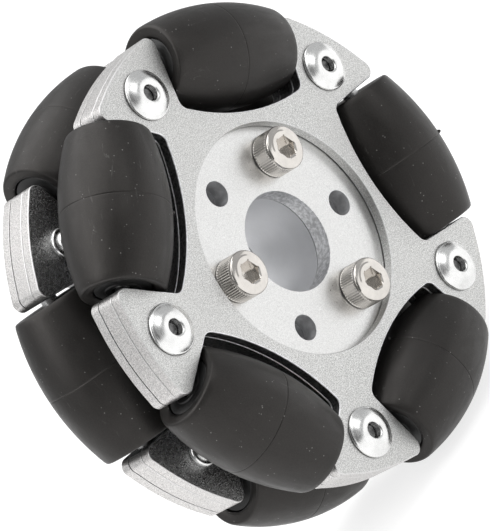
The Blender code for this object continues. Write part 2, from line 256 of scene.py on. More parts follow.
def window_side(slotted):
    """Half of a roller window about +x, from the arm's rim down to the middle of its floor."""
    outer = PLATE_RADIUS
    inner = WINDOW_TAPER_FROM
    for _ in range(20):
        outer = math.sqrt(PLATE_RADIUS ** 2 - wall_half_width(outer) ** 2)
        inner = window_floor(wall_half_width(inner))
    rim = Vector((outer, wall_half_width(outer)))
    foot = Vector((inner, wall_half_width(inner)))
    along_rim = rim + Vector((-rim.y, rim.x))
    near_foot = foot.y - WINDOW_CORNER_RADIUS
    floor_point = Vector((window_floor(near_foot), near_foot))
    points = fillet(along_rim, rim, foot, ARM_CORNER_RADIUS, CORNER_STEPS)
    if slotted:
        for radial in (AXLE_CIRCLE + SLOT_HALF, AXLE_CIRCLE - SLOT_HALF):
            mouth = Vector((radial, wall_half_width(radial)))
            end = Vector((radial, SLOT_END))
            points += [mouth, end] if radial > AXLE_CIRCLE else [end, mouth]
    points += fillet(rim, foot, floor_point, WINDOW_CORNER_RADIUS, CORNER_STEPS)
    for i in range(9, 0, -1):
        points.append(Vector((window_floor(near_foot * i / 10), near_foot * i / 10)))
    return points


def star_outline(start_angle, slotted):
    """Outline of a plate: five roller windows, joined by the rims of the arms between them."""
    side = window_side(slotted)
    mirrored = [Vector((point.x, -point.y)) for point in side]
    window = mirrored + [Vector((WINDOW_MID_RADIUS, 0.0))] + list(reversed(side))
    rim_angle = math.atan2(side[0].y, side[0].x)
    outline = []
    for arm in range(ARMS):
        window_angle = start_angle + ARM_STEP * (arm + 0.5)
        turn = Matrix.Rotation(window_angle, 2)
        outline += [turn @ point for point in window]
        from_angle = window_angle + rim_angle
        to_angle = window_angle + ARM_STEP - rim_angle
        for i in range(1, RIM_STEPS):
            angle = from_angle + (to_angle - from_angle) * i / RIM_STEPS
            outline.append(polar(PLATE_RADIUS, angle))
    return outline


# ---------------------------------------------------------------- mesh tools

def link(name, mesh, materials, place=None):
    """Makes an object of its own mesh. Its local attribute keeps the place before it is put at
    its spot, with an offset of its own, so that no two pieces share a texture."""
    number = len(bpy.data.meshes)
    mesh = mesh.copy()
    mesh.name = name
    local = mesh.attributes.new("local", "FLOAT_VECTOR", "POINT")
    for vertex, value in zip(mesh.vertices, local.data):
        value.vector = vertex.co + Vector((0.013, 0.007, 0.011)) * number
    if place is not None:
        mesh.transform(place)
    piece = bpy.data.objects.new(name, mesh)
    bpy.context.scene.collection.objects.link(piece)
    for material in materials:
        mesh.materials.append(material)
    return piece


def stand_for(piece, body, slot, *nodes):
    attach(piece, body)
    if nodes:
        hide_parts(*nodes)


def signed_area(points):
    total = 0.0
    for i, point in enumerate(points):
        after = points[(i + 1) % len(points)]
        total += point.x * after.y - point.y * after.x
    return total / 2


def slab(name, loops, low, high):
    """Flat solid between y = low and y = high with rounded rims and exact shading normals.

    Each loop is (points in x and z, is it a hole, low edge radius, high edge radius, wall slot),
    and two more values if it starts and ends at levels of its own. A wall slot can be a function
    of a wall's middle point.
    """
    shape = bmesh.new()
    edge_layer = shape.faces.layers.float.new("edge")
    wanted = {}
    caps = {}
    for points, hole, low_edge, high_edge, slot, *levels in loops:
        start, end = levels or (low, high)
        if (signed_area(points) > 0) == hole:
            points = list(reversed(points))
        count = len(points)
        facing = []
        for i in range(count):
            step = (points[(i + 1) % count] - points[i]).normalized()
            facing.append(Vector((step.y, -step.x)))
        miters, smooth = [], []
        for i in range(count):
            both = (facing[i - 1] + facing[i]).normalized()
            miters.append(both / max(TIGHTEST_MITER, both.dot(facing[i])))
            smooth.append(both if facing[i - 1].dot(facing[i]) > SMOOTH_TURN else None)
        bend = [math.pi / 2 * k / EDGE_STEPS for k in range(EDGE_STEPS + 1)]
        low_bend = bend if low_edge else bend[-1:]
        high_bend = bend if high_edge else bend[-1:]
        profile = []
        for t in low_bend:
            profile.append((low_edge * (1 - math.sin(t)), start + low_edge * (1 - math.cos(t)),
                            math.sin(t), -math.cos(t)))
        for t in reversed(high_bend):
            profile.append((high_edge * (1 - math.sin(t)), end - high_edge * (1 - math.cos(t)),
                            math.sin(t), math.cos(t)))
        rings = []
        for inset, y, _, _ in profile:
            ring = []
            for point, miter in zip(points, miters):
                spot = point - miter * inset
                ring.append(shape.verts.new((spot.x, y, spot.y)))
            rings.append(ring)
        for r in range(len(rings) - 1):
            for i in range(count):
                j = (i + 1) % count
                face = shape.faces.new((rings[r][i], rings[r][j],
                                        rings[r + 1][j], rings[r + 1][i]))
                face.smooth = True
                middle = (points[i] + points[j]) / 2
                on_edge = r != len(low_bend) - 1
                face.material_index = slot(middle, on_edge) if callable(slot) else slot
                face[edge_layer] = 1.0 if on_edge else 0.0
                corner = {}
                for k, n in ((i, r), (j, r), (j, r + 1), (i, r + 1)):
                    out = smooth[k] or facing[i]
                    corner[rings[n][k]] = Vector((out.x * profile[n][2], profile[n][3],
                                                  out.y * profile[n][2]))
                wanted[face] = corner
        caps.setdefault((start, 1.0 if start > low else -1.0), []).append(rings[0])
        caps.setdefault((end, 1.0), []).append(rings[-1])
    for (_, direction), rings in caps.items():
        edges = []
        for ring in rings:
            for i, corner in enumerate(ring):
                edges.append(shape.edges.get((corner, ring[(i + 1) % len(ring)])))
        made = bmesh.ops.triangle_fill(shape, edges=edges, use_beauty=True,
                                       normal=(0.0, direction, 0.0))
        for item in made["geom"]:
            if isinstance(item, bmesh.types.BMFace):
                item.smooth = True
                item.material_index = FACE
                wanted[item] = {corner: Vector((0.0, direction, 0.0)) for corner in item.verts}
    bmesh.ops.recalc_face_normals(shape, faces=shape.faces)
    normals = []
    for face in shape.faces:
        for corner in face.verts:
            normals.append(wanted[face][corner])
    mesh = bpy.data.meshes.new(name)
    shape.to_mesh(mesh)
    shape.free()
    mesh.normals_split_custom_set(normals)
    return mesh


def ring_solid(shape, rings, closed=False):
    """Skins a list of rings of points into bmesh; a ring of one point is a pole."""
    made = [[shape.verts.new(point) for point in ring] for ring in rings]
    pairs = list(zip(made, made[1:]))
    if closed:
        pairs.append((made[-1], made[0]))
    for first, second in pairs:
        sides = max(len(first), len(second))
        for i in range(sides):
            j = (i + 1) % sides
            corners = [first[i % len(first)], first[j % len(first)],
                       second[j % len(second)], second[i % len(second)]]
            unique = list(dict.fromkeys(corners))
            if len(unique) > 2:
                shape.faces.new(unique)


def close_mesh(name, shape, sharp=32):
    bmesh.ops.recalc_face_normals(shape, faces=shape.faces)
    mesh = bpy.data.meshes.new(name)
    shape.to_mesh(mesh)
    shape.free()
    mesh.shade_smooth()
    mesh.set_sharp_from_angle(angle=math.radians(sharp))
    return mesh


def even_normals(piece):
    weighted = piece.modifiers.new("even_normals", "WEIGHTED_NORMAL")
    weighted.weight = AREA_WEIGHT
    weighted.keep_sharp = True
    return piece


def turned(profile, sides, radius_of=None):
    """Rings about z for (radius, height) points, shaped by radius_of(radius, angle, height)."""
    rings = []
    for radius, height in profile:
        if radius <= 0:
            rings.append([Vector((0.0, 0.0, height))])
            continue
        ring = []
        for i in range(sides):
            angle = 2 * math.pi * i / sides
            r = radius_of(radius, angle, height) if radius_of else radius
            ring.append(Vector((r * math.cos(angle), r * math.sin(angle), height)))
        rings.append(ring)
    return rings


def rounded(points, radii, steps):
    """Rounds the corners of an open (radius, height) line. Radii match the points, and the
    points after the last radius stay sharp."""
    line = [Vector(point) for point in points]
    result = []
    for i, point in enumerate(line):
        radius = radii[i] if i < len(radii) else 0.0
        if radius and 0 < i < len(line) - 1:
            result += [tuple(p) for p in fillet(line[i - 1], point, line[i + 1], radius, steps)]
        else:
            result.append(tuple(point))
    return result


def facing_rear(x, y, z, turn=0.0, tilt=-90):
    """Places a piece drawn along +z so that it runs along the wheel's +Y."""
    stand = Matrix.Rotation(math.radians(tilt), 4, "X")
    return Matrix.Translation((x, y, z)) @ stand @ Matrix.Rotation(turn, 4, "Z")


def facing_front(x, y, z, turn=0.0):
    return facing_rear(x, y, z, turn, 90)


# ---------------------------------------------------------------- materials

class Paint:
    """A node material; its helpers return sockets."""

    def __init__(self, name, metallic, specular=0.5):
        self.material = bpy.data.materials.new(name)
        self.material.use_nodes = True
        self.tree = self.material.node_tree
        self.shader = self.tree.nodes["Principled BSDF"]
        self.shader.inputs["Metallic"].default_value = metallic
        self.shader.inputs["Specular IOR Level"].default_value = specular
        self.place = self.add("ShaderNodeAttribute", attribute_name="local").outputs["Vector"]

    def add(self, kind, **settings):
        node = self.tree.nodes.new(kind)
        for key, value in settings.items():
            setattr(node, key, value)
        return node

    def set(self, socket, value):
        if isinstance(value, bpy.types.NodeSocket):
            self.tree.links.new(value, socket)
        else:
            socket.default_value = value

    def noise(self, size, detail=3.0, rough=0.55, stretch=None, distortion=0.0):
        node = self.add("ShaderNodeTexNoise")
        node.inputs["Scale"].default_value = 1.0 / size
        node.inputs["Detail"].default_value = detail
        node.inputs["Roughness"].default_value = rough
        node.inputs["Distortion"].default_value = distortion
        where = self.place
        if stretch:
            scale = self.add("ShaderNodeVectorMath", operation="MULTIPLY")
            scale.inputs[1].default_value = stretch
            self.tree.links.new(where, scale.inputs[0])
            where = scale.outputs[0]
        self.tree.links.new(where, node.inputs["Vector"])
        return node.outputs["Fac"]

    def cells(self, size):
        node = self.add("ShaderNodeTexVoronoi")
        node.inputs["Scale"].default_value = 1.0 / size
        self.tree.links.new(self.place, node.inputs["Vector"])
        return node.outputs["Distance"]

    def span(self, value, low, high, to_low=0.0, to_high=1.0):
        node = self.add("ShaderNodeMapRange")
        node.clamp = True
        for key, number in zip(("From Min", "From Max", "To Min", "To Max"),
                               (low, high, to_low, to_high)):
            node.inputs[key].default_value = number
        self.tree.links.new(value, node.inputs["Value"])
        return node.outputs["Result"]

    def blend(self, share, first, second):
        node = self.add("ShaderNodeMix", data_type="RGBA")
        self.set(node.inputs["Factor"], share)
        colour_a, colour_b = [s for s in node.inputs if s.type == "RGBA"][:2]
        self.set(colour_a, first)
        self.set(colour_b, second)
        return [s for s in node.outputs if s.type == "RGBA"][0]

    def maths(self, operation, first, second=0.0):
        node = self.add("ShaderNodeMath", operation=operation)
        self.set(node.inputs[0], first)
        self.set(node.inputs[1], second)
        return node.outputs[0]

    def attribute(self, name):
        node = self.add("ShaderNodeAttribute", attribute_name=name)
        return node.outputs["Fac"]

    def bump(self, height, depth, strength=1.0, under=None):
        node = self.add("ShaderNodeBump")
        node.inputs["Strength"].default_value = strength
        node.inputs["Distance"].default_value = depth
        self.tree.links.new(height, node.inputs["Height"])
        if under is not None:
            self.tree.links.new(under, node.inputs["Normal"])
        return node.outputs["Normal"]

    def finish(self, colour, roughness, normal):
        self.set(self.shader.inputs["Base Color"], colour)
        self.set(self.shader.inputs["Roughness"], roughness)
        self.set(self.shader.inputs["Normal"], normal)
        return self.material


def grey(value, tint=(1.0, 1.0, 1.0)):
    return (value * tint[0], value * tint[1], value * tint[2], 1.0)


def blasted_aluminium(name, bright, roughness, grain, depth, contrast, tint=(1.0, 1.0, 1.0)):
    """Plate metal, lighter where the mesh's edge attribute marks a rounded rim: a painted
    highlight.
    """
    paint = Paint(name, 1.0)
    fine = paint.noise(grain, 2.0, 0.65)
    coarse = paint.noise(grain * 3, 2.0, 0.5)
    cloud = paint.noise(9 * MM, 2.0, 0.5)
    speck = paint.blend(paint.span(fine, 0.36, 0.64), grey(bright * (1 - 0.26 * contrast), tint),
                        grey(min(0.98, bright * (1 + 0.16 * contrast)), tint))
    tone = paint.blend(paint.span(cloud, 0.3, 0.7, 0.0, 0.30), speck,
                       grey(bright * 0.95, (1.0, 0.99, 0.97)))
    # painted highlight: the rounded rims are coloured lighter than the face
    painted_rim_highlight = paint.span(paint.attribute("edge"), 0.0, 1.0, 0.0, 0.5)
    colour = paint.blend(painted_rim_highlight, tone, grey(min(0.97, bright * 1.10)))
    rough = paint.span(coarse, 0.3, 0.7, roughness - 0.04, roughness + 0.06)
    under = paint.bump(coarse, depth * 0.6, 0.35)
    normal = paint.bump(fine, depth, 1.0, under)
    return paint.finish(colour, rough, normal)


def cut_wall(name, dark, bright, size, low_rough, high_rough):
    """Rough machined wall of a bore, an opening or a roller window."""
    paint = Paint(name, 1.0)
    blotch = paint.noise(size, 3.0, 0.65, distortion=0.4)
    fine = paint.noise(0.14 * MM, 2.0, 0.6)
    tint = (1.0, 1.0, 1.01)
    colour = paint.blend(paint.span(blotch, 0.38, 0.64), grey(dark, tint), grey(bright, tint))
    rough = paint.span(blotch, 0.3, 0.7, low_rough, high_rough)
    under = paint.bump(blotch, 0.05 * MM, 0.6)
    return paint.finish(colour, rough, paint.bump(fine, 0.012 * MM, 0.6, under))


def turned_aluminium(name):
    paint = Paint(name, 1.0)
    lines = paint.noise(0.5 * MM, 2.0, 0.5, stretch=(1.0, 9.0, 1.0))
    cloud = paint.noise(4 * MM, 2.0, 0.5)
    colour = paint.blend(paint.span(cloud, 0.3, 0.7), grey(0.68, (0.985, 0.99, 1.01)),
                         grey(0.73, (0.985, 0.99, 1.01)))
    rough = paint.span(lines, 0.3, 0.7, 0.60, 0.70)
    return paint.finish(colour, rough, paint.bump(lines, 0.006 * MM, 0.3))


def bright_metal(name, dark, light, low_rough, high_rough, depth, tint):
    paint = Paint(name, 1.0)
    haze = paint.noise(1.6 * MM, 3.0, 0.6)
    scratch = paint.noise(0.5 * MM, 3.0, 0.6, stretch=(1.0, 0.25, 3.0), distortion=0.8)
    fine = paint.noise(0.10 * MM, 2.0, 0.5)
    colour = paint.blend(paint.span(haze, 0.32, 0.68), grey(dark, tint), grey(light, tint))
    rough = paint.span(scratch, 0.35, 0.7, low_rough, high_rough)
    under = paint.bump(scratch, depth * 2.0, 0.35)
    return paint.finish(colour, rough, paint.bump(fine, depth, 0.3, under))


def dull_steel(name):
    paint = Paint(name, 1.0)
    blotch = paint.noise(0.35 * MM, 3.0, 0.6)
    colour = paint.blend(paint.span(blotch, 0.35, 0.65), grey(0.12), grey(0.28))
    rough = paint.span(blotch, 0.3, 0.7, 0.4, 0.6)
    return paint.finish(colour, rough, paint.bump(blotch, 0.05 * MM, 0.7))


def moulded_rubber(name):
    paint = Paint(name, 0.0, 0.42)
    paint.shader.inputs["Specular Tint"].default_value = (1.0, 0.95, 0.915, 1.0)
    cloud = paint.noise(4 * MM, 4.0, 0.6)
    skin = paint.noise(0.16 * MM, 3.0, 0.6)
    smear = paint.noise(1.3 * MM, 4.0, 0.65, stretch=(1.0, 1.0, 0.4), distortion=0.6)
    tint = (1.0, 0.92, 0.86)
    fine = paint.blend(paint.span(skin, 0.35, 0.65), grey(0.0050, tint), grey(0.0130, tint))
    base = paint.blend(paint.span(cloud, 0.35, 0.65, 0.0, 0.5), fine, grey(0.0150, tint))
    dust = paint.span(paint.cells(0.62 * MM), 0.085, 0.15, 1.0, 0.0)
    some = paint.span(paint.noise(1.4 * MM, 1.0, 0.4), 0.56, 0.62)
    dusty = paint.maths("MULTIPLY", dust, some)
    scuffs = paint.noise(0.9 * MM, 4.0, 0.7, stretch=(1.0, 1.0, 0.22), distortion=1.5)
    light = paint.maths("MAXIMUM", dusty, paint.span(scuffs, 0.64, 0.75, 0.0, 0.25))
    colour = paint.blend(light, base, grey(0.17, (1.0, 0.98, 0.95)))
    rough = paint.span(smear, 0.32, 0.68, 0.36, 0.50)
    under = paint.bump(paint.noise(1.1 * MM, 3.0, 0.5), 0.03 * MM, 0.4)
    return paint.finish(colour, rough, paint.bump(skin, 0.014 * MM, 0.6, under))


def moulded_nylon(name):
    paint = Paint(name, 0.0, 0.5)
    grain = paint.noise(0.3 * MM, 3.0, 0.6)
    colour = paint.blend(paint.span(grain, 0.3, 0.7), grey(0.012), grey(0.028))
    rough = paint.span(grain, 0.3, 0.7, 0.36, 0.5)
    return paint.finish(colour, rough, paint.bump(grain, 0.015 * MM, 0.5))


plate_metal = blasted_aluminium("blasted_aluminium", 0.65, 0.40, 0.13 * MM, 0.034 * MM, 1.8,
                                (1.0, 1.0, 0.985))
inner_metal = blasted_aluminium("shaded_blasted_aluminium", 0.58, 0.24, 0.13 * MM, 0.075 * MM,
                                1.8)
face_metal = blasted_aluminium("fine_blasted_aluminium", 0.715, 0.31, 0.12 * MM, 0.006 * MM, 0.7,
                               (1.0, 1.0, 0.99))
rim_metal = blasted_aluminium("coarse_blasted_aluminium", 0.68, 0.40, 0.13 * MM, 0.040 * MM, 1.6,
                              (1.0, 0.975, 0.96))
wall_metal = cut_wall("machined_wall", 0.50, 0.88, 0.45 * MM, 0.30, 0.48)
# painted shade: the roller windows' walls are coloured dark for the shade and the dark
# reflection of the rollers
shaded_window_metal = cut_wall("painted_shade_window_wall", 0.14, 0.36, 0.3 * MM, 0.40, 0.60)
# painted highlight: the rounded edges of the window walls are coloured bright
highlight_edge_metal = cut_wall("painted_highlight_edge", 0.70, 0.98, 0.5 * MM, 0.35, 0.6)
drilled_metal = cut_wall("drilled_wall", 0.66, 0.86, 1.2 * MM, 0.5, 0.7)
spacer_metal = turned_aluminium("turned_aluminium")
rivet_metal = bright_metal("drawn_aluminium", 0.74, 0.88, 0.18, 0.34, 0.006 * MM,
                           (1.0, 1.0, 0.99))
screw_metal = bright_metal("nickel_plate", 0.60, 0.70, 0.07, 0.16, 0.002 * MM,
                           (1.0, 0.955, 0.90))
axle_metal = bright_metal("ground_steel", 0.52, 0.62, 0.18, 0.32, 0.004 * MM, (1.0, 1.0, 1.0))
stub_metal = dull_steel("broken_steel")
rubber = moulded_rubber("black_rubber")
nylon = moulded_nylon("black_nylon")


# ---------------------------------------------------------------- plates and spacer

def hub_holes(levels=()):
    """Holes of the bolt circle; every other one takes a screw."""
    holes = []
    for i in range(2 * SCREWS):
        centre = polar(BOLT_CIRCLE, FIRST_SCREW_ANGLE + SCREW_STEP / 2 * i)
        holes.append((circle(BOLT_HOLE_RADIUS, BOLT_HOLE_SIDES, centre), True,
                      BOLT_HOLE_EDGE, BOLT_HOLE_EDGE, DRILLED, *levels))
    return holes


def rivet_holes(row):
    holes = []
    for arm in range(ARMS):
        centre = polar(RIVET_CIRCLE, ARM_START[row] + ARM_STEP * arm)
        holes.append((circle(RIVET_HOLE_RADIUS, RIVET_HOLE_SIDES, centre), True,
                      RIVET_HOLE_EDGE, RIVET_HOLE_EDGE, FACE))
    return holes


def outline_wall(middle, on_edge):
    """Arm rims are blasted; roller window walls get painted shade, their rounded edge a painted
    highlight.
    """
    if middle.length > PLATE_RADIUS - 1.0 * MM:
        return RIM
    return HIGHLIGHT_EDGE if on_edge else WINDOW


def build_plates():
    for row in ROWS:
        for part in ("outer", "core", "inner"):
            node = f"{row}_row_{part}_plate"
            low, high = [corner[1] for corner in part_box(node)]
            outline = star_outline(ARM_START[row], part == "core")
            shows_low = (row == "front") == (part == "outer")
            edges = (OUTER_EDGE, SEAM_EDGE) if shows_low else (SEAM_EDGE, OUTER_EDGE)
            if part == "core":
                edges = (CORE_EDGE, CORE_EDGE)
            if (row, part) == ("rear", "core"):
                face = high - SEAT_RISE
                loops = [(outline, False, *edges, outline_wall, low, face)]
                loops += [(*hole, low, face) for hole in rivet_holes(row)]
                loops.append((circle(SEAT_RADIUS, OPENING_SIDES), False, 0.0, SEAT_EDGE, WALL,
                              face, high))
            else:
                loops = [(outline, False, *edges, outline_wall)]
                loops += rivet_holes(row)
            if part == "core":
                loops.append((circle(BORE_RADIUS, BORE_SIDES), True, BORE_LOW_EDGE,
                              BORE_HIGH_EDGE, WALL, low, high))
                loops += hub_holes((low, high))
                metal = face_metal
            else:
                loops.append((circle(OPENING_RADIUS, OPENING_SIDES), True, OPENING_EDGE,
                              OPENING_EDGE, FACE))
                metal = inner_metal if part == "inner" else plate_metal
            piece = link(f"{row}_{part}_star_plate", slab(node + "_fine", loops, low, high),
                         [metal, wall_metal, shaded_window_metal, drilled_metal, rim_metal, highlight_edge_metal])
            stand_for(piece, "wheel", "plate", node)


def build_spacer():
    low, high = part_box("hub_spacer")
    loops = [(circle(SPACER_RADIUS, OPENING_SIDES), False, SPACER_EDGE, SPACER_EDGE, FACE),
             (circle(BORE_RADIUS, BORE_SIDES), True, SPACER_BORE_EDGE, SPACER_BORE_EDGE, FACE)]
    loops += hub_holes()
    piece = link("spacer", slab("spacer_fine", loops, low[1], high[1]),
                 [spacer_metal, spacer_metal, spacer_metal, drilled_metal])
    stand_for(piece, "wheel", "spacer", "hub_spacer")


# ---------------------------------------------------------------- rivets

def rivet_mesh(row_thickness):
    """Along +z from the row's face; the domed head lies below z = 0."""
    seat = -RIVET_SEAT_GAP
    tail = row_thickness + RIVET_SEAT_GAP
    end = tail + RIVET_TAIL_LENGTH
    tip = end + MANDREL_LENGTH
    head = [(0.0, RIVET_BORE_DEPTH), (RIVET_BORE_RADIUS, RIVET_BORE_DEPTH),
            (RIVET_BORE_RADIUS, seat - 0.66 * MM)]
    for radius, height in RIVET_HEAD:
        head.append((radius * MM, seat - height * MM))
    head.append((3.08 * MM, seat))
    bulb = rounded([(RIVET_SHANK_RADIUS, seat), (RIVET_SHANK_RADIUS, tail),
                    (RIVET_TAIL_RADIUS, tail), (RIVET_TAIL_RADIUS, end), (MANDREL_RADIUS, end)],
                   (0.0, 0.0, 0.25 * MM, 0.30 * MM), 5)
    nose = rounded([(MANDREL_RADIUS, end), (MANDREL_RADIUS, tip), (0.0, tip)],
                   (0.0, 0.55 * MM), 7)
    shape = bmesh.new()
    ring_solid(shape, turned(head + bulb + nose[1:], RIVET_SIDES))
    return close_mesh("hollow_rivet", shape)


def stub_mesh():
    """Broken end of the mandrel left in a rivet, along +z."""
    profile = [(0.0, STUB_TOP - 0.03 * MM), (0.35 * MM, STUB_TOP - 0.04 * MM),
               (0.62 * MM, STUB_TOP + 0.02 * MM), (0.86 * MM, STUB_TOP + 0.06 * MM),
               (STUB_RADIUS, 0.20 * MM), (STUB_RADIUS, RIVET_BORE_DEPTH - 0.05 * MM),
               (0.0, RIVET_BORE_DEPTH - 0.05 * MM)]

    def ragged(radius, angle, height):
        return radius * (1 - 0.05 * (1 + math.sin(3 * angle + 1)) * (height < 0.1 * MM))

    shape = bmesh.new()
    ring_solid(shape, turned(profile, STUB_SIDES, ragged))
    return close_mesh("mandrel_stub", shape)


def build_rivets():
    """Heads on the wheel's two outer faces, tails between the rows."""
    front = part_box("front_row_outer_plate")[0][1]
    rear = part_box("rear_row_outer_plate")[1][1]
    rivet = rivet_mesh(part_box("front_row_inner_plate")[1][1] - front)
    stub = stub_mesh()
    for row in ROWS:
        for arm in range(ARMS):
            spot = polar(RIVET_CIRCLE, ARM_START[row] - ARM_STEP * arm)
            turn = RIVET_TURN * arm
            if row == "front":
                place = facing_rear(spot.x, front, spot.y, turn)
            else:
                place = facing_front(spot.x, rear, spot.y, turn)
            piece = link(f"{row}_hollow_rivet_{arm + 1}", rivet, [rivet_metal], place)
            even_normals(piece)
            stand_for(piece, "wheel", "rivet", f"{row}_rivet_{arm + 1}")
            piece = link(f"{row}_mandrel_stub_{arm + 1}", stub, [stub_metal], place)
            even_normals(piece)
            stand_for(piece, "wheel", "axle")


# ---------------------------------------------------------------- rollers

def tyre_mesh():
    """Barrel with a fine parting groove and one small moulding nub, at local +x."""
    half = TYRE_HALF
    reach = half - TYRE_EDGE

    def crown(height):
        return math.sqrt(WHEEL_RADIUS ** 2 - height ** 2) - AXLE_CIRCLE

    heights = [reach * (i / TYRE_STEPS - 1) for i in range(TYRE_STEPS)]
    heights = [h for h in heights if h < -GROOVE_REACH] + list(GROOVE_HEIGHTS)
    heights += [0.0] + [-h for h in reversed(heights)]
    outside = []
    for height in heights:
        groove = GROOVE_DEPTH * math.exp(-(height / GROOVE_WIDTH) ** 2)
        outside.append((crown(height) - groove, height))
    corner = []
    for i in range(1, TYRE_CORNER_STEPS + 1):
        t = math.pi / 2 * i / TYRE_CORNER_STEPS
        corner.append((crown(reach) - TYRE_CORNER_DROP - TYRE_EDGE * (1 - math.cos(t)),
                       reach + TYRE_EDGE * math.sin(t)))
    lip = [(radius * MM, half - depth * MM) for radius, depth in TYRE_LIP]
    lip.append((TYRE_BORE_RADIUS, half - 0.32 * MM))
    top = corner + lip
    bottom = [(radius, -height) for radius, height in reversed(top)]
    shape = bmesh.new()
    ring_solid(shape, turned(bottom + outside + top, TYRE_SIDES), closed=True)
    nub = turned([(0.0, -0.10 * MM), (0.30 * MM, -0.10 * MM), (0.24 * MM, 0.08 * MM),
                  (0.15 * MM, 0.24 * MM), (0.08 * MM, 0.32 * MM), (0.0, 0.34 * MM)], NUB_SIDES)
    spot = Matrix.Translation((crown(0.0), 0.0, NUB_OFF_GROOVE))
    stand = spot @ Matrix.Rotation(math.radians(90), 4, "Y")
    ring_solid(shape, [[stand @ point for point in ring] for ring in nub])
    return close_mesh("barrel_tyre", shape, 40)


def core_mesh():
    half = CORE_HALF
    side = rounded([(CORE_BORE_RADIUS, half - 0.5 * MM), (CORE_BORE_RADIUS, half - 0.25 * MM),
                    (1.45 * MM, half - 0.02 * MM), (1.95 * MM, half - 0.02 * MM),
                    (2.10 * MM, half - 0.16 * MM), (CORE_RADIUS, half - 0.20 * MM),
                    (CORE_RADIUS, half - 0.6 * MM)],
                   (0, 0.1 * MM, 0.08 * MM, 0.08 * MM, 0.08 * MM, 0.12 * MM), 3)
    bottom = [(radius, -height) for radius, height in side]
    shape = bmesh.new()
    ring_solid(shape, turned(side + list(reversed(bottom)), CORE_SIDES), closed=True)
    return close_mesh("roller_bush", shape)


def pin_mesh():
    half = AXLE_HALF
    end = rounded([(0.0, half), (AXLE_RADIUS, half), (AXLE_RADIUS, half - 1.0 * MM)],
                  (0, AXLE_EDGE), 4)
    bottom = [(radius, -height) for radius, height in reversed(end)]
    shape = bmesh.new()
    ring_solid(shape, turned(end + bottom, AXLE_SIDES))
    return close_mesh("axle_pin", shape)


def build_rollers():
    tyre, core, pin = tyre_mesh(), core_mesh(), pin_mesh()
    for joint in frame["joints"]:
        body = joint["child"]
        row, _, number = body.split("_")
        along = Vector(joint["axis"]).normalized()
        centre = Vector(joint["pos_m"])
        outward = Vector((centre.x, 0.0, centre.z)).normalized()
        axes = Matrix((outward, along.cross(outward), along)).transposed().to_4x4()
        place = Matrix.Translation(centre) @ axes
        degrees = FIRST_NUB_DEGREES + NUB_STEP_DEGREES * int(number)
        nub_turn = NUB_TURN.get(body, math.radians(degrees))
        play = Matrix.Translation((0.0, 0.0, END_PLAY.get(body, 0.0)))
        turn = play @ Matrix.Rotation(nub_turn, 4, "Z")
        parts = ((tyre, "barrel_tyre", "roller_tyre", rubber, "rubber", body),
                 (core, "roller_bush", "roller_core", nylon, "roller_core", body),
                 (pin, "roller_pin", "axle_pin", axle_metal, "axle", "wheel"))
        for mesh, name, node, material, slot, rides in parts:
            seat = place if mesh is pin else place @ turn
            piece = even_normals(link(f"{row}_{name}_{number}", mesh, [material], seat))
            stand_for(piece, rides, slot, f"{row}_{node}_{number}")


# ---------------------------------------------------------------- screws

def hexagon(flats, angle):
    """Radius of a hexagon at an angle, its corners at multiples of 60 degrees."""
    within = (angle % math.radians(60)) - math.radians(30)
    return flats / 2 / math.cos(within)


